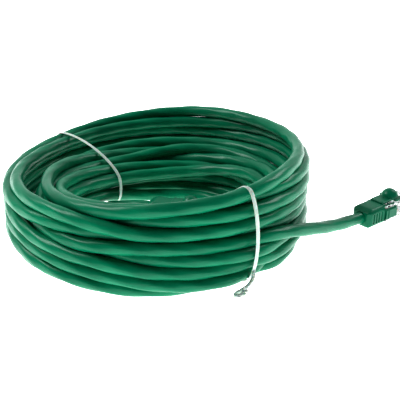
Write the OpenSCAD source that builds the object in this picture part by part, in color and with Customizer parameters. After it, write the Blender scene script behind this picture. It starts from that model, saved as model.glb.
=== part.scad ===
// Green ethernet patch cable, wound by hand into a flat-lying coil and held by two coated wire ties.
// Both ends carry a clear 8P8C plug in a moulded boot whose bubble hood shields the latch.
// Origin: centre of the coil's eye on the surface it lies on. +Z is up, +X points towards plug A.
// Millimetres.

/* [Cable] */
// Outer diameter of the jacket
cable_d = 5.8; // [5.6:0.1:5.8]

/* [Coil] */
// Outer radius of the coil
coil_outer_r = 73; // [73:0.5:74]
// Inner radius of the coil
coil_inner_r = 44; // [43:0.5:44]
// Height of the bundle of turns
coil_h = 38; // [36:0.5:40]
// Radius of the bundle's rounded edges
coil_edge_r = 9; // [7:0.5:9]

/* [Wire ties] */
// Width of the coated ribbon
tie_w = 1.8; // [1.6:0.1:2.2]
// Thickness of the coated ribbon
tie_t = 0.8; // [0.7:0.05:0.9]
// Direction of the tie at the back left, in degrees from +X
tie_left_angle = 139; // [136:1:142]
// Direction of the tie at the front right, in degrees from +X
tie_right_angle = -58; // [-59:1:-58]

/* [Plug] */
// Width of the clear housing
plug_w = 11.68; // [11.6:0.02:11.7]
// Height of the housing at its nose
plug_h = 6.6; // [6.5:0.05:6.6]
// Length of the housing
plug_l = 21.5; // [21.3:0.1:21.5]
// Distance between neighbouring contacts
contact_pitch = 1.02; // [1.02]

/* [Boot] */
// Length of the boot
boot_l = 20; // [19.8:0.1:20]
// Width of the boot's grip
boot_grip_w = 11.6; // [11.2:0.2:12]
// Width of the boot where it sleeves the housing
boot_sleeve_w = 13.5; // [13.4:0.1:13.7]
// Height of the boot
boot_h = 9.6; // [9.4:0.1:9.6]
// Number of grip grooves on each side
groove_count = 6; // [4:1:6]

/* [Latch and hood] */
// Length of the latch tongue
latch_l = 12.4; // [12:0.1:12.4]
// Upward tilt of the free latch, in degrees
latch_tilt = 12; // [11:0.5:12]
// Outer radius of the bubble over the latch tip
bubble_r = 4.3; // [4.2:0.05:4.3]

/* [Hidden] */

$fn = 48;
eps = 0.01;
fit_gap = 0.05;          // clearance between pieces of one plug that sit in each other
cable_r = cable_d / 2;

// Each plug's own frame: origin on the cable's axis at the boot's rear face, +X to the nose, +Z up.
axis_z = boot_h / 2;     // height of the cable's axis when the plug lies on its boot
plug_a_at = [98.5, -6.5];
plug_a_heading = 40;
plug_b_at = [-4, 6];
plug_b_heading = -20;

// Stations along a plug's own X
housing_x = 12;
nose_x = housing_x + plug_l;
collar_end_x = housing_x + 5.5;   // end of the taller rear part that takes the jacket
jacket_end_x = housing_x + 5;
bar_x = housing_x + 11.6;
bar_l = 4.2;
contact_x = housing_x + 16.5;
contact_l = 3.5;
core_end_x = contact_x + contact_l;
latch_root = [nose_x - 1.1, 3.3];
latch_root_r = 0.6;
hood_root = [housing_x + 0.6, 5];
hood_root_r = 0.8;
bubble_x = 21.9;

// Heights in a plug's own frame
housing_low = -3.7;
housing_top = housing_low + plug_h;
collar_top = 3.7;
wire_z = -1.2;

// Eight conductors: first on a circle in the jacket's end, then side by side in the load bar
wire_r = 0.45;
core_r = 0.25;
wire_circle_r = 1.7;
wire_angles = [202.5, 157.5, 247.5, 112.5, 292.5, 67.5, 337.5, 22.5];
wire_start_x = jacket_end_x + 0.4;
wire_turn_x = bar_x - 0.4;
wire_sides = 8;
wire_stations = [
    jacket_end_x, for (i = [0 : 7]) wire_start_x + (wire_turn_x - wire_start_x) * i / 7, core_end_x];

hood_t = 0.8;
brim_low = 4.5;

// Routes of the two loose ends, as places of the jacket's centre
lead_a_route = [
    [52, -51.5, 18.5], [57, -47, 16.5], [62, -42.5, 14.6], [67, -37.8, 12.8], [72, -33, 11.2],
    [77, -28, 9.8], [82, -23, 8.5], [87, -18, 7], [91, -13.4, 5.8], [94.7, -9.7, 5]];
lead_b_route = [
    [-41.6, -24, 3.4], [-43, -17.6, 3.2], [-42.8, -11.1, 3.1], [-40.8, -4.9, 3.1], [-37.3, 0.6, 3.1],
    [-32.5, 5, 3.1], [-26.7, 8, 3.2], [-20.3, 9.5, 3.5], [-13.8, 9.2, 4.1], [-9.6, 8, 4.6]];
// Twisted ends of the ties
tail_r = 1;
tail_left_route = [[-56, 48.7, 20], [-58, 51.3, 18], [-60, 53.6, 15], [-61, 55.2, 11.5]];
tail_right_route = [[39, -62.4, 6], [36.1, -65, 4], [32, -67.6, 2.6], [28, -69.3, 2], [24.1, -70.8, 2]];

function unit(v) = v / norm(v);
function in_plug(at, heading, x) = [at[0] + x * cos(heading), at[1] + x * sin(heading), axis_z];
function tangent(p, i) = unit(p[min(i + 1, len(p) - 1)] - p[max(i - 1, 0)]);
function ring(p, i, r, sides) =
    let (t = tangent(p, i), side = unit(cross([0, 0, 1], t)), up = cross(t, side))
    [for (k = [0 : sides - 1]) let (a = 360 * (k + 0.5) / sides) p[i] + r * (cos(a) * side + sin(a) * up)];

// A closed tube of radius r swept along the points p
module tube(p, r, sides) {
    last = len(p) - 1;
    points = [for (i = [0 : last]) each ring(p, i, r, sides)];
    sides_of_tube = [for (i = [0 : last - 1], k = [0 : sides - 1])
        let (a = i * sides + k, b = i * sides + (k + 1) % sides)
        each [[a, b + sides, b], [a, a + sides, b + sides]]];
    start_cap = [for (k = [0 : sides - 1]) k];
    end_cap = [for (k = [sides - 1 : -1 : 0]) last * sides + k];
    polyhedron(points = points, faces = concat([start_cap], sides_of_tube, [end_cap]), convexity = 4);
}

// A tube of radius r with a bore of radius bore_r, swept along the points p
module pipe(p, r, bore_r, sides) {
    last = len(p) - 1;
    count = len(p) * sides;
    points = concat([for (i = [0 : last]) each ring(p, i, r, sides)],
                    [for (i = [0 : last]) each ring(p, i, bore_r, sides)]);
    walls = [for (i = [0 : last - 1], k = [0 : sides - 1])
        let (a = i * sides + k, b = i * sides + (k + 1) % sides, c = a + count, d = b + count)
        each [[a, b + sides, b], [a, a + sides, b + sides], [c, d, d + sides], [c, d + sides, c + sides]]];
    ends = [for (k = [0 : sides - 1])
        let (a = k, b = (k + 1) % sides, c = a + count, d = b + count, far = last * sides)
        each [[a, b, d], [a, d, c], [a + far, d + far, b + far], [a + far, c + far, d + far]]];
    polyhedron(points = points, faces = concat(walls, ends), convexity = 4);
}

module at_plug_a() translate([plug_a_at[0], plug_a_at[1], axis_z]) rotate([0, 0, plug_a_heading]) children();
module at_plug_b() translate([plug_b_at[0], plug_b_at[1], axis_z]) rotate([0, 0, plug_b_heading]) children();

// A box between two corners
module block(low, high) translate(low) cube(high - low);

// A rectangle with round corners between two corners
module rounded_rect(low, high, r) {
    translate([low[0] + r, low[1]]) square([high[0] - low[0] - 2 * r, high[1] - low[1]]);
    translate([low[0], low[1] + r]) square([high[0] - low[0], high[1] - low[1] - 2 * r]);
    for (x = [low[0] + r, high[0] - r], y = [low[1] + r, high[1] - r]) translate([x, y]) circle(r);
}

// ---- coil and loose ends ----

module coil_section() rounded_rect([coil_inner_r, 0], [coil_outer_r, coil_h], coil_edge_r);

module cable_coil() color("seagreen") difference() {
    rotate_extrude($fn = 96) coil_section();
    for (a = [tie_left_angle, tie_right_angle]) tie_loop(a, -fit_gap, tie_t + fit_gap, tie_w + 2 * fit_gap);
}

module lead_a_jacket() color("seagreen")
    tube(concat(lead_a_route, [for (x = [0, 6, 12, jacket_end_x]) in_plug(plug_a_at, plug_a_heading, x)]),
         cable_r, 12);

module lead_b_jacket() color("seagreen")
    tube(concat(lead_b_route, [for (x = [0, 6, 12, jacket_end_x]) in_plug(plug_b_at, plug_b_heading, x)]),
         cable_r, 12);

// ---- wire ties ----

// Outline of a tie's loop round the bundle, out by d; its underside is let into the bundle
module tie_outline(d) rounded_rect([coil_inner_r - d, tie_t - d], [coil_outer_r + d, coil_h + d], coil_edge_r + d);

// A band round the bundle at angle a, between the outlines out by d0 and d1, w wide
module tie_loop(a, d0, d1, w) rotate([0, 0, a]) rotate([90, 0, 0])
    linear_extrude(height = w, center = true) difference() {
        tie_outline(d1);
        tie_outline(d0);
    }

module tie_ribbon(a, tail) color("lightgray") {
    difference() {
        tie_loop(a, 0, tie_t, tie_w);
        tie_loop(a, 0.12, tie_t - 0.12, 0.5);
    }
    tube(tail, tail_r, 8);
}

module tie_wire(a) color("silver") tie_loop(a, 0.15, tie_t - 0.15, 0.4);

module tie_left_ribbon() tie_ribbon(tie_left_angle, tail_left_route);
module tie_left_wire() tie_wire(tie_left_angle);
module tie_right_ribbon() tie_ribbon(tie_right_angle, tail_right_route);
module tie_right_wire() tie_wire(tie_right_angle);

// ---- plug, in its own frame ----

// The boot's solid: its section, its plan and its side view, crossed
module boot_body() {
    s = boot_sleeve_w / 2;
    g = boot_grip_w / 2;
    h = boot_h / 2;
    bevel = 2.6;
    intersection() {
        rotate([90, 0, 90]) linear_extrude(height = boot_l) polygon([
            [-s, -h + bevel], [-s + bevel, -h], [s - bevel, -h], [s, -h + bevel],
            [s, h - bevel], [s - bevel, h], [-s + bevel, h], [-s, h - bevel]]);
        linear_extrude(height = boot_h, center = true) polygon([
            [0, -g + 1.6], [1.8, -g], [10, -g], [12, -s], [boot_l, -s],
            [boot_l, s], [12, s], [10, g], [1.8, g], [0, g - 1.6]]);
        rotate([90, 0, 0]) linear_extrude(height = 2 * s, center = true) polygon([
            [0, -h + 1], [1.4, -h], [boot_l, -h], [boot_l, h], [3, h], [0, h - 1.6]]);
    }
}

module boot() color("mediumseagreen") difference() {
    boot_body();
    // bore for the jacket
    translate([-eps, 0, 0]) rotate([0, 90, 0]) cylinder(r = cable_r + fit_gap, h = housing_x + 1);
    // pocket for the rear of the housing
    block([housing_x - fit_gap, -plug_w / 2 - fit_gap, housing_low - fit_gap],
          [boot_l + 1, plug_w / 2 + fit_gap, collar_top + fit_gap]);
    // window for the hood
    block([hood_root[0] + 0.5, -4.6, collar_top - 0.5], [boot_l + 1, 4.6, boot_h]);
    // seat of the hood's root
    translate([hood_root[0], 0, hood_root[1]]) rotate([90, 0, 0])
        cylinder(r = hood_root_r + fit_gap, h = 7.6, center = true);
    // grip grooves, shallow where the sleeve round the housing is thin
    for (i = [0 : groove_count - 1], side = [-1, 1]) {
        x = 3.4 + i * 2;
        depth = x < housing_x - 0.5 ? (boot_sleeve_w - boot_grip_w) / 2 + 0.6 : 0.45;
        translate([x, side * boot_sleeve_w / 2, 0]) cube([0.9, 2 * depth, 5], center = true);
    }
}

module hood() color("mediumseagreen") difference() {
    union() {
        translate([hood_root[0], 0, hood_root[1]]) rotate([90, 0, 0]) cylinder(r = hood_root_r, h = 7, center = true);
        block([hood_root[0], -3.5, brim_low], [bubble_x - 2, 3.5, brim_low + 1.2]);
        difference() {
            translate([bubble_x, 0, 5]) sphere(bubble_r);
            block([bubble_x - 6, -6, -1], [bubble_x + 6, 6, brim_low]);
        }
        translate([boot_l + 0.4, 0, brim_low]) linear_extrude(height = hood_t)
            rounded_rect([0, -5.6], [5.4, 5.6], 1.2);
    }
    translate([bubble_x, 0, 5]) sphere(bubble_r - hood_t);
    // way in for the latch, from the nose's side
    block([bubble_x - 2.4, -2.3, 3], [bubble_x + 6, 2.3, 6.6]);
}

module housing() color("whitesmoke", 0.6) difference() {
    union() {
        block([housing_x, -plug_w / 2, housing_low], [nose_x, plug_w / 2, housing_top]);
        block([housing_x, -plug_w / 2, 0], [collar_end_x, plug_w / 2, collar_top]);
    }
    // room for the jacket, and for the conductors as they fan out
    block([housing_x - eps, -3.4, -cable_r - fit_gap], [jacket_end_x + 0.1, 3.4, cable_r + fit_gap]);
    block([jacket_end_x, -4.4, -2.6], [bar_x - 0.1, 4.4, 2.3]);
    block([bar_x - 0.2, -4.4, -2.6], [bar_x + bar_l + 0.1, 4.4, 1.2]);
    block([bar_x + bar_l, -4.2, wire_z - 0.55], [core_end_x + 0.2, 4.2, wire_z + 0.55]);
    // slots for the contacts, open below and at the nose
    for (y = wire_ys()) block([contact_x - 0.1, y - 0.25, housing_low - eps], [nose_x + eps, y + 0.25, wire_z - 0.4]);
    // slits round the bar that bites on the jacket
    for (side = [-1, 1]) block([housing_x + 1.6, side * 2.9 - 0.25, housing_low - eps],
                               [housing_x + 4.4, side * 2.9 + 0.25, -2.5]);
    block([housing_x + 1.2, -3.1, housing_low - eps], [housing_x + 1.7, 3.1, -2.5]);
    // seat of the latch's root
    translate([latch_root[0], 0, latch_root[1]]) rotate([90, 0, 0])
        cylinder(r = latch_root_r + fit_gap, h = 7, center = true);
}

module latch() color("whitesmoke", 0.6) translate([latch_root[0], 0, latch_root[1]]) {
    rotate([90, 0, 0]) cylinder(r = latch_root_r, h = 5.8, center = true);
    rotate([0, latch_tilt, 0]) {
        block([-6, -3.1, 0], [0.3, 3.1, 0.9]);
        block([-6, -3.1, 0.4], [-4.2, 3.1, 1.7]);
        block([-latch_l, -1.65, 0], [-5, 1.65, 0.9]);
    }
}

function wire_ys() = [for (i = [0 : 7]) (i - 3.5) * contact_pitch];

module contacts() color("gold")
    for (y = wire_ys()) block([contact_x, y - 0.18, housing_low + 0.35], [contact_x + contact_l, y + 0.18, wire_z - core_r]);

module load_bar() color("white") difference() {
    block([bar_x, -4.3, -2.5], [bar_x + bar_l, 4.3, 1.1]);
    for (y = wire_ys()) translate([bar_x - eps, y, wire_z]) rotate([0, 90, 0]) cylinder(r = wire_r + 0.02, h = bar_l + 1);
}

function ease(t) = t * t * (3 - 2 * t);

// The path of conductor i: from its place in the jacket's end it moves sideways to its own lane, then down
// to the load bar's level, and runs straight
function wire_path(i) =
    let (start = wire_circle_r * [cos(wire_angles[i]), sin(wire_angles[i])])
    [for (x = wire_stations)
        let (t = min(1, max(0, (x - wire_start_x) / (wire_turn_x - wire_start_x))),
             sideways = ease(min(1, t / 0.6)), down = ease(max(0, (t - 0.4) / 0.6)))
        [x, start[0] + sideways * (wire_ys()[i] - start[0]), start[1] + down * (wire_z - start[1])]];

module copper_cores() color("chocolate") for (i = [0 : 7]) tube(wire_path(i), core_r - 0.01, wire_sides);

module conductor(i, c) color(c) difference() {
    pipe(wire_path(i), wire_r, core_r, wire_sides);
    // where the contact bites through the insulation
    block([contact_x - 0.05, wire_ys()[i] - 0.2, -3], [contact_x + contact_l + 1, wire_ys()[i] + 0.2, wire_z - 0.2]);
}

module plug_a_boot() at_plug_a() boot();
module plug_a_boot_hood() at_plug_a() hood();
module plug_a_housing() at_plug_a() housing();
module plug_a_latch() at_plug_a() latch();
module plug_a_contacts() at_plug_a() contacts();
module plug_a_load_bar() at_plug_a() load_bar();
module plug_a_copper_cores() at_plug_a() copper_cores();
module plug_a_wire_white_orange() at_plug_a() conductor(0, "moccasin");
module plug_a_wire_orange() at_plug_a() conductor(1, "darkorange");
module plug_a_wire_white_green() at_plug_a() conductor(2, "honeydew");
module plug_a_wire_blue() at_plug_a() conductor(3, "royalblue");
module plug_a_wire_white_blue() at_plug_a() conductor(4, "aliceblue");
module plug_a_wire_green() at_plug_a() conductor(5, "green");
module plug_a_wire_white_brown() at_plug_a() conductor(6, "linen");
module plug_a_wire_brown() at_plug_a() conductor(7, "saddlebrown");

module plug_b_boot() at_plug_b() boot();
module plug_b_boot_hood() at_plug_b() hood();
module plug_b_housing() at_plug_b() housing();
module plug_b_latch() at_plug_b() latch();
module plug_b_contacts() at_plug_b() contacts();
module plug_b_load_bar() at_plug_b() load_bar();
module plug_b_copper_cores() at_plug_b() copper_cores();
module plug_b_wire_white_orange() at_plug_b() conductor(0, "moccasin");
module plug_b_wire_orange() at_plug_b() conductor(1, "darkorange");
module plug_b_wire_white_green() at_plug_b() conductor(2, "honeydew");
module plug_b_wire_blue() at_plug_b() conductor(3, "royalblue");
module plug_b_wire_white_blue() at_plug_b() conductor(4, "aliceblue");
module plug_b_wire_green() at_plug_b() conductor(5, "green");
module plug_b_wire_white_brown() at_plug_b() conductor(6, "linen");
module plug_b_wire_brown() at_plug_b() conductor(7, "saddlebrown");

cable_coil();
lead_a_jacket();
lead_b_jacket();
tie_left_ribbon();
tie_left_wire();
tie_right_ribbon();
tie_right_wire();
plug_a_boot();
plug_a_boot_hood();
plug_a_housing();
plug_a_latch();
plug_a_contacts();
plug_a_load_bar();
plug_a_copper_cores();
plug_a_wire_white_orange();
plug_a_wire_orange();
plug_a_wire_white_green();
plug_a_wire_blue();
plug_a_wire_white_blue();
plug_a_wire_green();
plug_a_wire_white_brown();
plug_a_wire_brown();
plug_b_boot();
plug_b_boot_hood();
plug_b_housing();
plug_b_latch();
plug_b_contacts();
plug_b_load_bar();
plug_b_copper_cores();
plug_b_wire_white_orange();
plug_b_wire_orange();
plug_b_wire_white_green();
plug_b_wire_blue();
plug_b_wire_white_blue();
plug_b_wire_green();
plug_b_wire_white_brown();
plug_b_wire_brown();
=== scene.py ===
"""Ethernet patch cable: a green cord hand-wound into a flat coil, with two coated wire ties round it
and a clear 8P8C plug in a soft snagless boot at each end. Millimetres until a mesh is made, then metres."""

import math

import bpy
import numpy as np
from mathutils import Matrix, Vector


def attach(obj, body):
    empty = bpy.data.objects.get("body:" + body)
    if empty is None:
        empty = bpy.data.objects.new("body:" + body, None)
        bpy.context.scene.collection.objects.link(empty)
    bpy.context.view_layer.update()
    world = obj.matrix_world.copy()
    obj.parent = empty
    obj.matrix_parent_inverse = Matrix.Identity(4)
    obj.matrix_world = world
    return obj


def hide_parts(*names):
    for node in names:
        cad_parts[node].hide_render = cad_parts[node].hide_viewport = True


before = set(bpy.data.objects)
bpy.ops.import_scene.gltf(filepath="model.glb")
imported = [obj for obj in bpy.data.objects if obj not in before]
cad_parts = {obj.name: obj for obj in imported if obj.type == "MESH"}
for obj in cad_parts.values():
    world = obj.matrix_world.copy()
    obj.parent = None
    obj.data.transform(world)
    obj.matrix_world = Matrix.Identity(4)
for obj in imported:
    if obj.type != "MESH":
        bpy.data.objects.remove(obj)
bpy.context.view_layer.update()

MM = 0.001
PLUGS = ("a", "b")
WIRES = ("white_orange", "orange", "white_green", "blue", "white_blue", "green", "white_brown", "brown")

# ---- the cord's route, in millimetres ----

CORD_D = 5.8
CORD_R = CORD_D / 2
RING_STEP = 3.2                  # distance between neighbouring points of the route

PLUG_AXIS_Z = 4.8
IN_PLUG = (17, 12, 6, 0)         # how far into its boot the cord's points are, from its end
PLUG_PLACES = {"a": (98.5, -6.5, 40.0), "b": (-4.0, 6.0, -20.0)}    # x and y of the boot's rear, heading
LEAD_A = [(52, -51.5, 18.5), (57, -47, 16.5), (62, -42.5, 14.6), (67, -37.8, 12.8), (72, -33, 11.2),
          (77, -28, 9.8), (82, -23, 8.5), (87, -18, 7), (91, -13.4, 5.8), (94.7, -9.7, 5)]
LEAD_B = [(-41.6, -24, 3.4), (-43, -17.6, 3.2), (-42.8, -11.1, 3.1), (-40.8, -4.9, 3.1), (-37.3, 0.6, 3.1),
          (-32.5, 5, 3.1), (-26.7, 8, 3.2), (-20.3, 9.5, 3.5), (-13.8, 9.2, 4.1), (-9.6, 8, 4.6)]
LOOSE_POINTS = 14                # points of lead A, next to the coil, that may still move

# The first turn lies loose on the eye's floor: direction, in degrees from +X, and radius of its points
LOOSE_TURN = [(227, 49.6), (243, 51.3), (261, 51.8), (280, 51.5), (300, 50.3), (320, 48.1), (340, 45),
              (360, 41.2), (380, 37), (400, 32.8), (420, 28.6), (440, 26), (458, 25.3), (475, 26.5),
              (491, 29.6), (506, 33.9), (519, 38)]
LOOSE_Z = CORD_R + 0.1
HUMP_MIDDLE = 94                 # number of the route's point that is over lead B
HUMP_HALF = 12                   # points from there to each end of the hump
HUMP_HEIGHT = 3.5

WIND_START = 523.0               # direction in which the other turns, which settle, start after the loose one
WIND_END = 315.0                 # direction in which lead A leaves the coil
TURNS = 20                       # how often the cord passes that direction before it leaves there
START_GAP = 12                   # degrees of the first of these turns that are left out, to go over to it
END_GAP = 8                      # degrees of the last one that are left out, to go over to lead A
# The bundle's outline round the coil: direction in degrees, inner radius, outer radius, top, and how much
# its top slopes, down towards the eye where the number is above 0 and down towards the outside below 0
BUNDLE = [(-180, 43, 70.5, 31, 0), (-135, 52, 73.5, 40.8, -0.05), (-90, 57, 76, 46, -0.05),
          (-48, 56.5, 75, 46, 0), (0, 50, 71, 43, 0.15), (45, 43, 73.5, 41, 0.45),
          (85, 36, 75.5, 41.5, 0.6), (115, 35, 74.5, 38, 0.5), (139, 35, 72.5, 31, 0.25),
          (180, 43, 70.5, 31, 0)]
CORNER_R = 4.5                   # radius of the outline's corners, along the middle of a strand
# The turns wander within the outline in two slow waves: how much of a wave goes in a turn, and its phase
IN_OUT = (0.2144, 0.65)
UP_DOWN = (0.2339, 0.75)
WAVE_START = 210.0               # direction from which the waves are counted
OUT_BIAS = 0.9                   # below 1, the turns keep a little more to the outside
START_EASE = 216                 # degrees over which the first turns come up from low on the inside
START_OUT = 0.1                  # how far out they start, from 0, inside, to 1, outside
END_EASE = 0.75                  # share of a turn over which the last one goes to its place outside
END_UP = 0.4                     # how high it ends, from 0, the floor, to 1, the top

SETTLE_ROUNDS = 450
THIN = 0.35                      # the cord starts to settle at this share of its diameter
GROWN_AT = 0.55                  # share of the rounds after which it has its whole diameter
LATE_FROM = 0.7                  # share of the rounds after which the moves get gentler
TOUCH_REACH = CORD_D + 3.5       # points that are closer than this may come to touch
TOUCH_EVERY = 8                  # rounds between two searches for them
NOT_TOUCHING = 6                 # points that are no further apart along the cord don't touch
ROWS_AT_ONCE = 800               # points that a search takes at a time, to spare memory
BESIDE = 0.6                     # points touch only if they are no further ahead of each other, in steps
BOOST = 1.5                      # how many times its overlap two strands are pushed apart
STRETCH_PULL = 0.5               # share of a gap's stretch that each of its two points takes back
SQUASH_PULL = 0.05               # the same where the gap is too short
GUIDED_POINTS = 50               # points of the last turn that keep more and more to where they were laid
GUIDE_PULL = 0.15                # share of the way back that the last of them goes in a round
OUT_BEFORE = 2                   # points of the last turn that are in the curve that joins it to lead A
OUT_AFTER = 17                   # points of lead A that are in it
# How firmly neighbours so many points away keep the cord fair, at first and late
STIFFNESS = [(1, 0.5, 0.5), (3, 0.4, 0.4), (6, 0.25, 0.05), (12, 0.12, 0)]
SETTLE_PULL = 0.01               # how far a turn sinks in a round
SPREAD_HALF = 7                  # a push moves the cord over so many points to each side
LEAST_SHARE = 0.3                # of those points, by weight, that have to be pushed for the whole move
START_HALF = 15                  # points to each side of the settled turns' start that are eased
START_ROUNDS = 45


def smooth_step(t):
    """0 below 0, 1 above 1 and an S between."""
    t = np.clip(t, 0, 1)
    return t * t * (3 - 2 * t)


def unit(v):
    """The directions of one or more vectors, each 1 long."""
    return v / np.linalg.norm(v, axis=-1, keepdims=True)


def bell(half):
    """A smooth weight over 2 half + 1 points that adds up to 1."""
    weight = np.hanning(2 * half + 3)[1:-1]
    return weight / weight.sum()


def in_plug(plug, along):
    """A point on a plug's cable axis, so far from the boot's rear."""
    x, y, heading = PLUG_PLACES[plug]
    turn = math.radians(heading)
    return (x + along * math.cos(turn), y + along * math.sin(turn), PLUG_AXIS_Z)


def spline(points, per_point=12):
    """A smooth curve through the points."""
    p = np.array(points, float)
    p = np.vstack([2 * p[0] - p[1], p, 2 * p[-1] - p[-2]])
    t = np.linspace(0, 1, per_point, endpoint=False)[:, None]
    pieces = []
    for a, b, c, d in zip(p, p[1:], p[2:], p[3:]):
        slope, bend, twist = c - a, 2 * a - 5 * b + 4 * c - d, 3 * b - a - 3 * c + d
        pieces.append((2 * b + slope * t + bend * t ** 2 + twist * t ** 3) / 2)
    return np.vstack(pieces + [p[-2:-1]])


def path_length(p):
    """The length of a path of points."""
    return np.linalg.norm(np.diff(p, axis=0), axis=1).sum()


def resample(p, count):
    """The same path with so many points, equally far apart."""
    s = np.r_[0, np.cumsum(np.linalg.norm(np.diff(p, axis=0), axis=1))]
    t = np.linspace(0, s[-1], count)
    return np.stack([np.interp(t, s, p[:, k]) for k in range(3)], 1)


def bundle_outline(degrees):
    """Inner radius, outer radius, top and slope of the bundle in each direction, from BUNDLE, smoothed."""
    table = np.array(BUNDLE, float)
    grid = np.arange(-180, 180, 2.0)
    columns = []
    for k in (1, 2, 3, 4):
        column = np.interp(grid, table[:, 0], table[:, k])
        smooth = np.convolve(np.tile(column, 3), bell(7), "same")[len(grid):2 * len(grid)]
        columns.append(np.interp((degrees + 180) % 360 - 180, np.r_[grid, 180], np.r_[smooth, smooth[0]]))
    return np.stack(columns, -1)


def bundle_top(outline, rho):
    """How high the bundle is at a radius."""
    to_eye = np.maximum(outline[:, 3], 0) * (outline[:, 1] - rho)
    to_outside = np.maximum(-outline[:, 3], 0) * (rho - outline[:, 0])
    return outline[:, 2] - to_eye - to_outside


def laid_turns():
    """The turns as a hand lays them, a point for each degree: they wander in and out, and up and down."""
    degrees = np.arange(WIND_START, WIND_END + 360 * TURNS, 1.0)
    turn = (degrees - WAVE_START) / 360
    outline = bundle_outline(degrees)
    out = (0.5 + 0.5 * np.sin(2 * np.pi * (IN_OUT[0] * turn + IN_OUT[1]))) ** OUT_BIAS
    up = 0.5 + 0.5 * np.sin(2 * np.pi * (UP_DOWN[0] * turn + UP_DOWN[1]))
    starting = smooth_step(1 - (degrees - WIND_START) / START_EASE)
    ending = smooth_step(1 - (turn[-1] - turn) / END_EASE)
    out = out * (1 - starting) + START_OUT * starting
    up = up * (1 - starting)
    out = out * (1 - ending) + ending
    up = up * (1 - ending) + END_UP * ending
    rho = outline[:, 0] + CORD_R + out * (outline[:, 1] - outline[:, 0] - CORD_D)
    z = CORD_R + up * (bundle_top(outline, rho) - CORD_D)
    angle = np.radians(degrees)
    return np.stack([rho * np.cos(angle), rho * np.sin(angle), z], 1)


def first_route():
    """The whole cord from plug B to plug A, and how freely each of its points moves, from 0 to 1."""
    in_b = [in_plug("b", along) for along in IN_PLUG]
    in_a = [in_plug("a", along) for along in IN_PLUG[::-1]]
    loose = [(radius * math.cos(math.radians(way)), radius * math.sin(math.radians(way)), LOOSE_Z)
             for way, radius in LOOSE_TURN]
    lead_b = spline(in_b + LEAD_B[::-1] + loose)
    lead_a = spline(LEAD_A + in_a)
    count_b = round(path_length(lead_b) / RING_STEP) + 1
    count_a = round(path_length(lead_a) / RING_STEP) + 1
    coil = np.vstack([lead_b[-1:], laid_turns()[START_GAP:-END_GAP], lead_a[:1]])
    coil = resample(coil, round(path_length(coil) / RING_STEP) + 1)[1:-1]
    p = np.vstack([resample(lead_b, count_b), coil, resample(lead_a, count_a)])
    into_lead = np.arange(len(p)) + count_a - len(p)
    free = 1 - smooth_step(into_lead[:, None] / LOOSE_POINTS)
    free[:count_b] = 0
    return p, free


def near_pairs(p, reach, apart):
    """Pairs of points closer than reach that are more than so many points apart along the cord."""
    q = p.astype(np.float32)
    square = (q * q).sum(1)
    first, second = [], []
    for start in range(0, len(q), ROWS_AT_ONCE):
        rows = slice(start, start + ROWS_AT_ONCE)
        gap = square[rows, None] + square[None, :] - 2 * q[rows] @ q.T
        i, j = np.nonzero(gap < reach * reach)
        i = i + start
        keep = j - i > apart
        first.append(i[keep])
        second.append(j[keep])
    return np.concatenate(first), np.concatenate(second)


def spread(moves, hit, half):
    """Moves of single points turned into moves of smooth stretches, because a cord is stiff."""
    weight = bell(half)
    share = np.convolve(hit, weight, "same")
    smooth = np.stack([np.convolve(column, weight, "same") for column in moves.T], 1)
    return smooth / np.maximum(share, LEAST_SHARE)[:, None]


def push_apart(p, pairs, diameter, half):
    """Moves that take touching stretches of the cord off each other."""
    along_cord = np.gradient(p, axis=0)
    along_cord /= np.linalg.norm(along_cord, axis=1)[:, None]
    i, j = pairs
    apart = p[i] - p[j]
    along = (apart * along_cord[j]).sum(1)
    apart -= along[:, None] * along_cord[j]
    gap = np.linalg.norm(apart, axis=1)
    touch = (np.abs(along) < BESIDE * RING_STEP) & (gap < diameter)
    i, j, apart, gap = i[touch], j[touch], apart[touch], gap[touch]
    push = apart / np.maximum(gap, 1e-6)[:, None] * ((diameter - gap) / 2)[:, None]
    count = np.bincount(i, minlength=len(p)) + np.bincount(j, minlength=len(p))
    moves = np.stack([np.bincount(i, push[:, k], len(p)) - np.bincount(j, push[:, k], len(p))
                      for k in range(3)], 1)
    moves = moves * (BOOST / np.maximum(count, 1)[:, None])
    return spread(moves, (count > 0).astype(float), half)


def keep_in_bundle(p):
    """Moves that bring the turns back inside the bundle's outline, and which points are outside it."""
    rho = np.hypot(p[:, 0], p[:, 1])
    outline = bundle_outline(np.degrees(np.arctan2(p[:, 1], p[:, 0])))
    top = bundle_top(outline, rho)
    middle = np.stack([(outline[:, 0] + outline[:, 1]) / 2, top / 2], 1)
    half = np.stack([(outline[:, 1] - outline[:, 0]) / 2, top / 2], 1) - CORD_R
    offset = np.stack([rho, p[:, 2]], 1) - middle
    corner = np.minimum(CORNER_R, half.min(1))[:, None]
    past = np.maximum(np.abs(offset) - (half - corner), 0)
    length = np.linalg.norm(past, axis=1)
    over = np.maximum(length - corner[:, 0], 0)
    back = -np.sign(offset) * past / np.maximum(length, 1e-9)[:, None] * over[:, None]
    move = np.stack([p[:, 0] / rho * back[:, 0], p[:, 1] / rho * back[:, 0], back[:, 1]], 1)
    return move, (over > 0).astype(float)


def stay_fair(p, free, stride, weight):
    """Pulls each point to the middle of its neighbours so many points away, bowed out as a ring is."""
    middle = p[stride:-stride]
    pull = (p[2 * stride:] + p[:-2 * stride]) / 2 - middle
    rho = np.hypot(middle[:, 0], middle[:, 1])[:, None]
    sag = (stride * RING_STEP) ** 2 / 2 / np.maximum(rho, 30)
    pull[:, :2] += middle[:, :2] / rho * sag
    p[stride:-stride] += weight * pull * free[stride:-stride]


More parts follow.
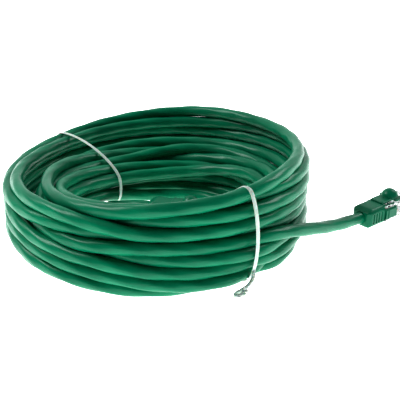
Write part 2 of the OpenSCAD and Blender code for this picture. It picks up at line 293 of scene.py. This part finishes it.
def keep_length(p, free):
    """Brings neighbouring points back to RING_STEP apart, firmly where the cord is stretched."""
    for parity in (0, 1):
        a, b = p[parity:-1:2], p[parity + 1::2]
        count = min(len(a), len(b))
        gap = b[:count] - a[:count]
        length = np.linalg.norm(gap, axis=1)[:, None]
        change = gap * (length - RING_STEP) / length * np.where(length > RING_STEP, STRETCH_PULL, SQUASH_PULL)
        a[:count] += change * free[parity:-1:2][:count]
        b[:count] -= change * free[parity + 1::2][:count]


def ease_start(p, first):
    """Takes the sharpness out of the bend where the settled turns start."""
    weight = 0.5 * np.hanning(2 * START_HALF + 1)[:, None]
    around = np.arange(first - START_HALF, first + START_HALF + 1)
    for _ in range(START_ROUNDS):
        p[around] += weight * ((p[around - 1] + p[around + 1]) / 2 - p[around])
    return p


def settle(p, free, rounds):
    """Lets the turns settle beside and on each other. The cord starts thin and grows to its diameter.

    In each round the cord is faired, sinks a little, is pushed off itself, back into the bundle and up
    off the floor, and gets its length back. Where free is 0, nothing moves.
    """
    home = p.copy()
    last = np.nonzero(free[:, 0] == 1)[0][-1]
    guided = GUIDE_PULL * smooth_step((np.arange(len(p)) - last + GUIDED_POINTS) / GUIDED_POINTS)[:, None]
    pairs = None
    for n in range(rounds):
        done = n / rounds
        diameter = CORD_D * min(1.0, THIN + (1 - THIN) * done / GROWN_AT)
        late = smooth_step((done - LATE_FROM) / (1 - LATE_FROM))
        if n % TOUCH_EVERY == 0:
            pairs = near_pairs(p, TOUCH_REACH, NOT_TOUCHING)
        for stride, early_weight, late_weight in STIFFNESS:
            stay_fair(p, free, stride, early_weight + (late_weight - early_weight) * late)
        p[:, 2:] -= SETTLE_PULL * free * (1 - late)
        for _ in range(3):
            p += push_apart(p, pairs, diameter, SPREAD_HALF - round(3 * late)) * free
        move, over = keep_in_bundle(p)
        over = over * (free[:, 0] == 1)
        move = move * over[:, None]
        p += spread(move, over, SPREAD_HALF) * free * (0.6 - 0.45 * late)
        low = np.maximum(CORD_R - p[:, 2], 0)
        p += spread(np.outer(low, (0, 0, 1)), (low > 0).astype(float), SPREAD_HALF) * free
        for _ in range(3):
            keep_length(p, free)
        p += guided * (home - p)
        p = np.where(free > 0, p, home)
    return ease_start(p, np.nonzero(free[:, 0] > 0)[0][0])


def lead_out(p, last):
    """Joins the last settled point of the turns to lead A by one curve, as a stiff cord comes off a coil."""
    start, end = last - OUT_BEFORE, last + OUT_AFTER
    span = np.linalg.norm(p[end] - p[start])
    go = unit(p[start] - p[start - 3]) * span
    come = unit(p[end + 3] - p[end]) * span
    t = np.linspace(0, 1, end - start + 1)[:, None]
    bend = (p[end] - p[start]) * t * t * (3 - 2 * t) + go * t * (1 - t) ** 2 - come * t * t * (1 - t)
    p[start:end + 1] = p[start] + bend
    return p


def step_over_lead(p):
    """Lifts the first turn in a low hump where it crosses lead B."""
    offsets = np.arange(-HUMP_HALF, HUMP_HALF + 1)
    p[HUMP_MIDDLE + offsets, 2] += HUMP_HEIGHT * (0.5 + 0.5 * np.cos(np.pi * offsets / HUMP_HALF))


def wind_cord():
    """The settled route of the whole cord, from plug B to plug A, in millimetres."""
    p, free = first_route()
    last = np.nonzero(free[:, 0] == 1)[0][-1]
    p = lead_out(settle(p, free, SETTLE_ROUNDS), last)
    step_over_lead(p)
    p[:, 2] = np.maximum(p[:, 2], CORD_R)
    return p


# ---- meshes ----


def mesh_piece(name, points, faces, material):
    """A smooth-shaded mesh object from points in millimetres."""
    mesh = bpy.data.meshes.new(name)
    mesh.from_pydata((np.asarray(points) * MM).tolist(), [], faces)
    mesh.shade_smooth()
    mesh.materials.append(material)
    piece = bpy.data.objects.new(name, mesh)
    bpy.context.scene.collection.objects.link(piece)
    return piece


def along_path(p):
    """The direction of a path at each of its points."""
    return unit(np.gradient(p, axis=0))


def steady_sides(p):
    """Two cross directions at each point of a path, which turn about it as little as possible."""
    forward = along_path(p)
    side = np.cross(forward[0], (0.1, 0.2, 0.97))
    sides = np.empty_like(p)
    for k, direction in enumerate(forward):
        side = side - direction * side.dot(direction)
        side = side / np.linalg.norm(side)
        sides[k] = side
    return sides, np.cross(forward, sides)


def sweep(p, side, up, section, closed=False):
    """Points and faces of a section swept along a path. section is one outline, or one for each point."""
    section = np.broadcast_to(section, (len(p),) + np.shape(section)[-2:])
    rings = p[:, None] + side[:, None] * section[..., :1] + up[:, None] * section[..., 1:]
    count, sides = rings.shape[:2]
    faces = []
    for k in range(count if closed else count - 1):
        here, there = k * sides, (k + 1) % count * sides
        for m in range(sides):
            n = (m + 1) % sides
            faces.append((here + m, here + n, there + n, there + m))
    if not closed:
        faces.append(tuple(range(sides))[::-1])
        faces.append(tuple(range((count - 1) * sides, count * sides)))
    return rings.reshape(-1, 3), faces


def circle(radius, sides):
    """The corners of a regular polygon, as a section."""
    angle = 2 * np.pi * np.arange(sides) / sides
    return np.stack([radius * np.cos(angle), radius * np.sin(angle)], 1)


# ---- materials ----


def plain_material(name, colour, roughness, **sockets):
    """A material whose uniform numbers stand on its shader's own sockets."""
    material = bpy.data.materials.new(name)
    material.use_nodes = True
    shader = material.node_tree.nodes["Principled BSDF"]
    shader.inputs["Base Color"].default_value = (*colour, 1)
    shader.inputs["Roughness"].default_value = roughness
    for socket, value in sockets.items():
        shader.inputs[socket.replace("_", " ")].default_value = value
    return material


def noise(material, scale, detail=3.0):
    """A noise texture in the object's own space. scale is in waves per metre."""
    nodes, links = material.node_tree.nodes, material.node_tree.links
    place = nodes.new("ShaderNodeTexCoord")
    texture = nodes.new("ShaderNodeTexNoise")
    texture.inputs["Scale"].default_value = scale
    texture.inputs["Detail"].default_value = detail
    links.new(place.outputs["Object"], texture.inputs["Vector"])
    return texture.outputs["Fac"]


def spread_to(material, value, socket, low, high):
    """Drives a number socket between low and high by a value round 0.5."""
    nodes, links = material.node_tree.nodes, material.node_tree.links
    ramp = nodes.new("ShaderNodeMapRange")
    for end, number in (("From Min", 0.3), ("From Max", 0.7), ("To Min", low), ("To Max", high)):
        ramp.inputs[end].default_value = number
    links.new(value, ramp.inputs["Value"])
    links.new(ramp.outputs["Result"], material.node_tree.nodes["Principled BSDF"].inputs[socket])


def spread_colour(material, value, low, high):
    """Varies the base colour between two colours by a value round 0.5."""
    nodes, links = material.node_tree.nodes, material.node_tree.links
    ramp = nodes.new("ShaderNodeValToRGB")
    ramp.color_ramp.elements[0].position = 0.35
    ramp.color_ramp.elements[0].color = (*low, 1)
    ramp.color_ramp.elements[1].position = 0.65
    ramp.color_ramp.elements[1].color = (*high, 1)
    links.new(value, ramp.inputs["Fac"])
    links.new(ramp.outputs["Color"], nodes["Principled BSDF"].inputs["Base Color"])


def grain(material, value, height):
    """A bump from a value, so many metres high."""
    nodes, links = material.node_tree.nodes, material.node_tree.links
    bump = nodes.new("ShaderNodeBump")
    bump.inputs["Strength"].default_value = 1.0
    bump.inputs["Distance"].default_value = height
    links.new(value, bump.inputs["Height"])
    links.new(bump.outputs["Normal"], nodes["Principled BSDF"].inputs["Normal"])


def green_pvc(name, colour, roughness, grain_height):
    """Soft green PVC: a slow change of depth in the colour, gloss that is uneven, and a fine grain."""
    material = plain_material(name, colour, roughness, Specular_IOR_Level=0.1, Coat_Weight=0.25,
                              Coat_Roughness=0.25)
    shade = np.array(colour)
    spread_colour(material, noise(material, 55), shade * 0.88, shade * 1.12)
    spread_to(material, noise(material, 420), "Roughness", roughness - 0.05, roughness + 0.07)
    grain(material, noise(material, 2600, 4.0), grain_height)
    return material


def clear_plastic():
    """The polycarbonate of a plug: clear, with faint flow marks from the mould."""
    material = plain_material("clear_plastic", (0.93, 0.97, 0.96), 0.14, IOR=1.42, Transmission_Weight=0.84)
    spread_to(material, noise(material, 500), "Roughness", 0.08, 0.18)
    grain(material, noise(material, 260, 1.0), 0.00001)
    return material


def bar_plastic():
    """The milky plastic of a load bar."""
    material = plain_material("bar_plastic", (0.86, 0.88, 0.87), 0.32, IOR=1.5, Transmission_Weight=0.45)
    spread_to(material, noise(material, 700), "Roughness", 0.26, 0.42)
    return material


def metal(name, colour, roughness):
    """Bare or plated metal with fine drawing marks."""
    material = plain_material(name, colour, roughness, Metallic=1.0)
    spread_to(material, noise(material, 1800), "Roughness", roughness - 0.06, roughness + 0.1)
    grain(material, noise(material, 4000, 2.0), 0.000004)
    return material


def tie_plastic():
    """The pale coating of a tie, dull and slightly uneven where it was bent."""
    material = plain_material("tie_plastic", (0.62, 0.74, 0.68), 0.38, Subsurface_Weight=0.15,
                              Subsurface_Scale=0.001)
    spread_colour(material, noise(material, 180), (0.55, 0.68, 0.615), (0.68, 0.79, 0.735))
    grain(material, noise(material, 1500, 2.0), 0.00003)
    return material


INSULATION = {"orange": (0.80, 0.22, 0.02), "blue": (0.02, 0.09, 0.50), "green": (0.01, 0.28, 0.06),
              "brown": (0.17, 0.07, 0.025)}
PALE = (0.82, 0.81, 0.76)
BAND_PITCH = 2.2                 # distance from one coloured band of a pale wire to the next
BAND_SLANT = 25                  # degrees
WAVE_PERIOD = 0.314              # a wave texture of scale 1 repeats at this distance


def insulation(wire, heading):
    """A wire's coating: one colour, or white with slanting bands of its pair's colour."""
    colour = INSULATION[wire.removeprefix("white_")]
    material = plain_material("insulation_" + wire, colour, 0.42)
    if not wire.startswith("white_"):
        shade = np.array(colour)
        spread_colour(material, noise(material, 900), shade * 0.9, shade * 1.1)
        return material
    nodes, links = material.node_tree.nodes, material.node_tree.links
    place = nodes.new("ShaderNodeTexCoord")
    turn = nodes.new("ShaderNodeMapping")
    turn.inputs["Rotation"].default_value = (0, math.radians(-BAND_SLANT), math.radians(-heading))
    bands = nodes.new("ShaderNodeTexWave")
    bands.inputs["Scale"].default_value = WAVE_PERIOD / (BAND_PITCH * MM)
    ramp = nodes.new("ShaderNodeValToRGB")
    ramp.color_ramp.elements[0].position = 0.66
    ramp.color_ramp.elements[0].color = (*PALE, 1)
    ramp.color_ramp.elements[1].position = 0.72
    ramp.color_ramp.elements[1].color = (*colour, 1)
    links.new(place.outputs["Object"], turn.inputs["Vector"])
    links.new(turn.outputs["Vector"], bands.inputs["Vector"])
    links.new(bands.outputs["Fac"], ramp.inputs["Fac"])
    links.new(ramp.outputs["Color"], nodes["Principled BSDF"].inputs["Base Color"])
    return material


# ---- the cord ----

TUBE_SIDES = 18
TUBE_STEP = 2.4                  # distance between the rings of the jacket's mesh
PAIR_LAY = 70.0                  # the twisted pairs go once round the cord in this length
PAIRS = 4
PAIR_RELIEF = 0.13               # how far they show through the jacket
PAIR_LEVEL = -0.2                # by how much of the relief the ridges and hollows lie further in


def jacket_mesh(p):
    """The jacket round a path, with the twisted pairs faintly showing through it."""
    p = resample(p, round(path_length(p) / TUBE_STEP) + 1)
    side, up = steady_sides(p)
    angle = 2 * np.pi * np.arange(TUBE_SIDES) / TUBE_SIDES
    twist = 2 * np.pi * np.arange(len(p)) * TUBE_STEP / PAIR_LAY
    radius = CORD_R + PAIR_RELIEF * (np.cos(PAIRS * (angle - twist[:, None])) + PAIR_LEVEL)
    section = np.stack([radius * np.cos(angle), radius * np.sin(angle)], -1)
    return sweep(p, side, up, section)


def make_cord(route, material):
    """The whole cord, wound and led out to its two plugs."""
    points, faces = jacket_mesh(route)
    cord = mesh_piece("cord_jacket", points, faces, material)
    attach(cord, "cable")
    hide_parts("cable_coil", "lead_a_jacket", "lead_b_jacket")
    return cord


# ---- the wire ties ----

TIE_WIDTH = 1.8
TIE_THICK = 0.8
TIE_EDGE = 0.35                  # thickness of the coating near its edges
TIE_EDGE_ROUND = 0.35            # share of that thickness at the very edges, which are rounded off
TIE_RIDGE = 0.42                 # width of the ridge over the wire, as a share of the tie's width
TIE_WIRE_R = 0.22
TIE_WIRE_SIDES = 8
TIE_PLACES = {"left": 139.0, "right": -58.0}     # direction of each tie, in degrees from +X
TIE_LEANS = {"left": 0.0, "right": 3.0}          # how far a tie's outer side is ahead, anticlockwise
TIE_INNER = 20                   # a tie holds the strands that are further from the coil's middle
TIE_LEAN_REACH = 12              # distance outwards from its middle at which it has leant that far
TIE_POINTS = 180
TIE_BOW = 13                     # a tie is stiff: it rounds off over so many of its points to each side
TIE_END_WIDTH = 1.3
TIE_END_THICK = 0.75
TIE_END_POINTS = 90
TIE_TWIST_PITCH = 4.2            # its two ends go once round each other in this length
TIE_TWIST_R = 0.5                # distance from the middle of the twist to the middle of an end
TIE_SPLAY = 1.2                  # how much further apart the tips are
TIE_END_REST = 0.6               # height of an end's middle where it lies on the floor
TIE_BARE = 3                     # points at the tip where the wire stands out of the coating
# A tie's twisted ends: how far along the coil, clockwise, how far outwards and how high each point is
TIE_TAILS = {"left": [(0, 0, 22), (1, 1.4, 20), (3, 2.6, 17.5), (5.5, 3.2, 14.5), (8, 3.0, 11.5),
                      (9.5, 2.2, 9)],
             "right": [(0, 0, 8), (1.2, 1.2, 5.2), (4, 2, 3.2), (7.5, 2.6, 2.4), (10.5, 3.4, 2.4),
                       (12.6, 5.2, 2.8), (11.8, 7.2, 3.6), (9.6, 7.4, 4.4), (8.6, 5.8, 4.8)]}


def strands_at(route, degrees):
    """Radius and height of each strand where the cord passes a direction."""
    angle = np.radians(degrees)
    across = route[:, 1] * math.cos(angle) - route[:, 0] * math.sin(angle)
    ahead = route[:, 0] * math.cos(angle) + route[:, 1] * math.sin(angle)
    k = np.nonzero((across[:-1] * across[1:] <= 0) & (ahead[1:] > TIE_INNER))[0]
    t = (across[k] / (across[k] - across[k + 1]))[:, None]
    points = route[k] * (1 - t) + route[k + 1] * t
    return np.stack([np.hypot(points[:, 0], points[:, 1]), points[:, 2]], 1)


def tie_loop(route, degrees, lean):
    """The line of a tie round the bundle: it bears on the outermost strands and bows between them."""
    centres = strands_at(route, degrees)
    middle = centres.mean(0)
    turn = np.linspace(0, 2 * np.pi, TIE_POINTS, endpoint=False)
    facing = np.stack([np.cos(turn), np.sin(turn)], 1)
    reach = ((centres - middle) @ facing.T).max(0) + CORD_R + TIE_THICK / 2
    reach = np.convolve(np.tile(reach, 3), bell(TIE_BOW), "same")[TIE_POINTS:2 * TIE_POINTS]
    slope = (np.roll(reach, -1) - np.roll(reach, 1)) * TIE_POINTS / (4 * np.pi)
    outline = middle + reach[:, None] * facing + slope[:, None] * facing[:, ::-1] * (-1, 1)
    outline[:, 1] = np.maximum(outline[:, 1], TIE_THICK / 2)
    angle = math.radians(degrees)
    aslant = lean * np.clip((outline[:, 0] - middle[0]) / TIE_LEAN_REACH, -1, 1)
    return np.stack([outline[:, 0] * math.cos(angle) - aslant * math.sin(angle),
                     outline[:, 0] * math.sin(angle) + aslant * math.cos(angle), outline[:, 1]], 1)


def tie_tail(loop, place):
    """The line that the two twisted ends of a tie follow, from the outer side of its loop."""
    angle = math.radians(TIE_PLACES[place])
    ahead = np.array((math.sin(angle), -math.cos(angle), 0.0))
    outward = np.array((math.cos(angle), math.sin(angle), 0.0))
    tail = np.array(TIE_TAILS[place], float)
    outer = loop[loop @ outward > (loop @ outward).mean()]
    start = outer[np.abs(outer[:, 2] - tail[0, 2]).argmin()] * (1, 1, 0)
    return start + tail[:, :1] * ahead + tail[:, 1:2] * outward + tail[:, 2:] * (0, 0, 1)


def tie_section(width, thick):
    """A tie's outline: thin at its two edges and thick where the wire runs."""
    across = np.linspace(-1, 1, 13)
    half = (TIE_EDGE + (thick - TIE_EDGE) * np.exp(-(across / TIE_RIDGE) ** 2)) / 2
    half[[0, -1]] *= TIE_EDGE_ROUND
    top = np.stack([across * width / 2, half], 1)
    return np.vstack([top, (top * (1, -1))[::-1]])


def ring_mesh(loop, degrees, section):
    """A closed sweep whose first direction lies across the tie's plane."""
    angle = math.radians(degrees)
    across = np.broadcast_to((-math.sin(angle), math.cos(angle), 0.0), loop.shape)
    forward = unit(np.roll(loop, -1, 0) - np.roll(loop, 1, 0))
    return sweep(loop, across, np.cross(forward, across), section, closed=True)


def twisted_end(tail, phase):
    """One of the two tie ends that are twisted round each other, as a path and its cross directions."""
    p = resample(spline(tail), TIE_END_POINTS)
    side, up = steady_sides(p)
    run = np.linspace(0, path_length(p), len(p))
    turn = (2 * np.pi * run / TIE_TWIST_PITCH + phase)[:, None]
    away = side * np.cos(turn) + up * np.sin(turn)
    splay = 1 + TIE_SPLAY * smooth_step((run / run[-1] - 0.8) / 0.2)
    path = p + away * TIE_TWIST_R * splay[:, None]
    path[:, 2] = np.maximum(path[:, 2], TIE_END_REST)
    return path, np.cross(along_path(path), away), away


def join_parts(parts):
    """Several meshes' points and faces as one mesh's."""
    points, faces, start = [], [], 0
    for part_points, part_faces in parts:
        points.append(part_points)
        faces += [tuple(start + k for k in face) for face in part_faces]
        start += len(part_points)
    return np.vstack(points), faces


def make_tie(route, place, coating, steel):
    """One tie: the loop round the bundle and its two ends, twisted together, each with its wire."""
    loop = tie_loop(route, TIE_PLACES[place], TIE_LEANS[place])
    end_section = tie_section(TIE_END_WIDTH, TIE_END_THICK)
    wire_section = circle(TIE_WIRE_R, TIE_WIRE_SIDES)
    covers = [ring_mesh(loop, TIE_PLACES[place], tie_section(TIE_WIDTH, TIE_THICK))]
    wires = [ring_mesh(loop, TIE_PLACES[place], wire_section)]
    for phase in (0, np.pi):
        path, side, up = twisted_end(tie_tail(loop, place), phase)
        coated = slice(0, -TIE_BARE)
        covers.append(sweep(path[coated], side[coated], up[coated], end_section))
        wires.append(sweep(path, side, up, wire_section))
    cover = mesh_piece(f"tie_{place}_coating", *join_parts(covers), coating)
    wire = mesh_piece(f"tie_{place}_core", *join_parts(wires), steel)
    for piece, slot, node in ((cover, "tie_plastic", "ribbon"), (wire, "tie_steel", "wire")):
        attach(piece, "cable")
        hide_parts(f"tie_{place}_{node}")


# ---- the plugs ----

GRIP_END = 11.5                  # where a boot's grip ends and its sleeve round the housing starts
GRIP_FADE = 2                    # length over which the rounding fades out before that
GRIP_ROUNDS = 90
GRIP_LEVELS = 8                  # steps in which the rounding's strength is given to the mesh
BORE_GAP = 0.7                   # how far from the jacket the rounding starts
BORE_FADE = 0.8
GROOVE_START = 1.6               # how far from the boot's rear the rounding starts to spare its grooves
GROOVE_START_FADE = 0.8
GROOVE_TOP = 2.5                 # how far above and below the plug's axis they reach
GROOVE_FADE = 0.5
MOULD_VOXEL = 0.14               # a remeshed boot's or hood's grid
MOULD_ROUNDS = 4


def paint(node, material):
    """Gives a CAD node its material."""
    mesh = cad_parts[node].data
    mesh.materials.clear()
    mesh.materials.append(material)


def soft_copy(node, name, heading, material, body):
    """A copy of a CAD node, remeshed along its own axes, with its edges rounded as a mould leaves them."""
    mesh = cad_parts[node].data.copy()
    to_own = Matrix.Scale(1 / MM, 4) @ Matrix.Rotation(math.radians(-heading), 4, "Z")
    mesh.transform(to_own)
    source = bpy.data.objects.new(name + "_source", mesh)
    bpy.context.scene.collection.objects.link(source)
    remesh = source.modifiers.new("remesh", "REMESH")
    remesh.mode = "VOXEL"
    remesh.voxel_size = MOULD_VOXEL
    smooth = source.modifiers.new("smooth", "SMOOTH")
    smooth.factor = 0.5
    smooth.iterations = MOULD_ROUNDS
    ready = source.evaluated_get(bpy.context.evaluated_depsgraph_get())
    result = bpy.data.meshes.new_from_object(ready)
    bpy.data.objects.remove(source)
    result.transform(to_own.inverted())
    result.name = name
    result.shade_smooth()
    result.materials.clear()
    result.materials.append(material)
    piece = bpy.data.objects.new(name, result)
    bpy.context.scene.collection.objects.link(piece)
    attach(piece, body)
    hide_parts(node)
    return piece


def round_grip(boot, plug):
    """Rounds the long edges and the rear of a boot's grip, but not its grooves, its bore or its sleeve."""
    x, y, heading = PLUG_PLACES[plug]
    turn = math.radians(heading)
    mesh = boot.data
    p = np.empty(3 * len(mesh.vertices), np.float32)
    mesh.vertices.foreach_get("co", p)
    p = p.reshape(-1, 3) / MM - (x, y, PLUG_AXIS_Z)
    ahead = p[:, 0] * math.cos(turn) + p[:, 1] * math.sin(turn)
    aside = p[:, 1] * math.cos(turn) - p[:, 0] * math.sin(turn)
    on_grip = 1 - smooth_step((ahead - GRIP_END + GRIP_FADE) / GRIP_FADE)
    off_bore = smooth_step((np.hypot(aside, p[:, 2]) - CORD_R - BORE_GAP) / BORE_FADE)
    groove_height = 1 - smooth_step((np.abs(p[:, 2]) - GROOVE_TOP) / GROOVE_FADE)
    off_grooves = 1 - groove_height * smooth_step((ahead - GROOVE_START) / GROOVE_START_FADE)
    weight = on_grip * off_bore * off_grooves
    group = boot.vertex_groups.new(name="grip")
    for level in range(1, GRIP_LEVELS + 1):
        some = np.nonzero(np.round(weight * GRIP_LEVELS) == level)[0]
        group.add(some.tolist(), level / GRIP_LEVELS, "REPLACE")
    smooth = boot.modifiers.new("grip", "SMOOTH")
    smooth.vertex_group = "grip"
    smooth.factor = 0.9
    smooth.iterations = GRIP_ROUNDS
    ready = boot.evaluated_get(bpy.context.evaluated_depsgraph_get())
    boot.data = bpy.data.meshes.new_from_object(ready)
    boot.modifiers.clear()
    boot.vertex_groups.clear()


def make_plug(plug, materials):
    """A plug's soft boot and hood, and the CAD's own plug parts with their materials. Returns its pieces."""
    heading = PLUG_PLACES[plug][2]
    boot = soft_copy(f"plug_{plug}_boot", f"boot_{plug}_grip", heading, materials["boot"], "cable")
    round_grip(boot, plug)
    hood = soft_copy(f"plug_{plug}_boot_hood", f"boot_{plug}_bubble", heading, materials["boot"],
                     f"hood_{plug}")
    pieces = [boot, hood]
    for part, material in (("housing", "clear"), ("latch", "clear"), ("contacts", "gold"),
                           ("load_bar", "bar"), ("copper_cores", "copper")):
        paint(f"plug_{plug}_{part}", materials[material])
        pieces.append(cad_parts[f"plug_{plug}_{part}"])
    for wire in WIRES:
        paint(f"plug_{plug}_wire_{wire}", insulation(wire, heading))
        pieces.append(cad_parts[f"plug_{plug}_wire_{wire}"])
    return pieces


# ---- the studio ----

CAMERA_AIM = Vector((0.0211, 0.0, 0.0112))
CAMERA_DISTANCE = 0.375
CAMERA_ELEVATION = math.radians(24)
CAMERA_LENS = 69.2
FLOOR_HALF = 8.0                 # metres from its middle to its sides
FLOOR_RIM = 0.12                 # metres that its rim is turned up, to hide the horizon
FLOOR_GLOW = 1.7                 # the floor is a lit table, so the cable casts next to no shadow
TENT_STRENGTH = 0.8
TENT_OPENING = 0.04              # how bright the open side is, next to the rest
FILM_EXPOSURE = 0.38             # a contrasty picture, as product shots are
FILM_GAMMA = 0.8


def make_camera():
    """The camera in front of the coil, looking along +Y and down."""
    camera = bpy.data.cameras.new("camera")
    camera.lens = CAMERA_LENS
    camera.clip_start = 0.01
    eye = bpy.data.objects.new("camera", camera)
    bpy.context.scene.collection.objects.link(eye)
    gaze = Vector((0, math.cos(CAMERA_ELEVATION), -math.sin(CAMERA_ELEVATION)))
    eye.location = CAMERA_AIM - gaze * CAMERA_DISTANCE
    eye.rotation_euler = gaze.to_track_quat("-Z", "Y").to_euler()
    bpy.context.scene.camera = eye


def make_floor():
    """A wide white sheet that the cable lies on, with its rim turned up a little to hide the horizon."""
    corners = [(x * FLOOR_HALF, y * FLOOR_HALF) for x, y in ((-1, -1), (1, -1), (1, 1), (-1, 1))]
    points = [(x, y, z) for z in (0, FLOOR_RIM) for x, y in corners]
    walls = [(k, (k + 1) % 4, (k + 1) % 4 + 4, k + 4) for k in range(4)]
    mesh = bpy.data.meshes.new("floor")
    mesh.from_pydata(points, [], [(0, 1, 2, 3)] + walls)
    mesh.materials.append(plain_material("white_floor", (0.55, 0.55, 0.55), 0.9, Specular_IOR_Level=0.0,
                                         Emission_Color=(1, 1, 1, 1), Emission_Strength=FLOOR_GLOW))
    floor = bpy.data.objects.new("floor", mesh)
    bpy.context.scene.collection.objects.link(floor)


def soft_light(name, place, aim, size, power):
    """A square soft box. place and aim are in metres."""
    light = bpy.data.lights.new(name, "AREA")
    light.energy = power
    light.size = size
    lamp = bpy.data.objects.new(name, light)
    bpy.context.scene.collection.objects.link(lamp)
    lamp.location = place
    lamp.rotation_euler = (Vector(aim) - Vector(place)).to_track_quat("-Z", "Y").to_euler()


def make_studio():
    """A white tent that is open and darker on the camera's side, with two soft boxes for the highlights."""
    world = bpy.data.worlds.new("studio")
    world.use_nodes = True
    nodes, links = world.node_tree.nodes, world.node_tree.links
    place = nodes.new("ShaderNodeTexCoord")
    apart = nodes.new("ShaderNodeSeparateXYZ")
    wall = nodes.new("ShaderNodeMapRange")
    for end, number in (("From Min", 0.0), ("From Max", 0.9), ("To Min", TENT_OPENING), ("To Max", 1.0)):
        wall.inputs[end].default_value = number
    wall.interpolation_type = "SMOOTHSTEP"
    links.new(place.outputs["Generated"], apart.inputs["Vector"])
    links.new(apart.outputs["Y"], wall.inputs["Value"])
    links.new(wall.outputs["Result"], nodes["Background"].inputs["Color"])
    nodes["Background"].inputs["Strength"].default_value = TENT_STRENGTH
    bpy.context.scene.world = world
    view = bpy.context.scene.view_settings
    view.view_transform = "Standard"
    view.exposure = FILM_EXPOSURE
    view.gamma = FILM_GAMMA
    soft_light("box_left", (-0.5, 0.1, 0.6), (0, 0, 0.02), 0.35, 4)
    soft_light("box_right", (0.55, 0.3, 0.5), (0, 0, 0.02), 0.3, 1.8)


# ---- the whole ----


def main():
    """Makes the studio and every piece of the cable."""
    make_camera()
    make_floor()
    make_studio()
    materials = {
        "jacket": green_pvc("jacket_pvc", (0.0002, 0.212, 0.108), 0.34, 0.000010),
        "boot": green_pvc("boot_pvc", (0.0004, 0.178, 0.092), 0.40, 0.00002),
        "clear": clear_plastic(),
        "bar": bar_plastic(),
        "gold": metal("gold_contacts", (0.92, 0.67, 0.24), 0.2),
        "copper": metal("copper", (0.78, 0.36, 0.19), 0.28),
    }
    route = wind_cord()
    cord = make_cord(route, materials["jacket"])
    coating = tie_plastic()
    steel = metal("tie_steel", (0.6, 0.6, 0.6), 0.35)
    for place in TIE_PLACES:
        make_tie(route, place, coating, steel)
    pieces = {plug: make_plug(plug, materials) for plug in PLUGS}


main()
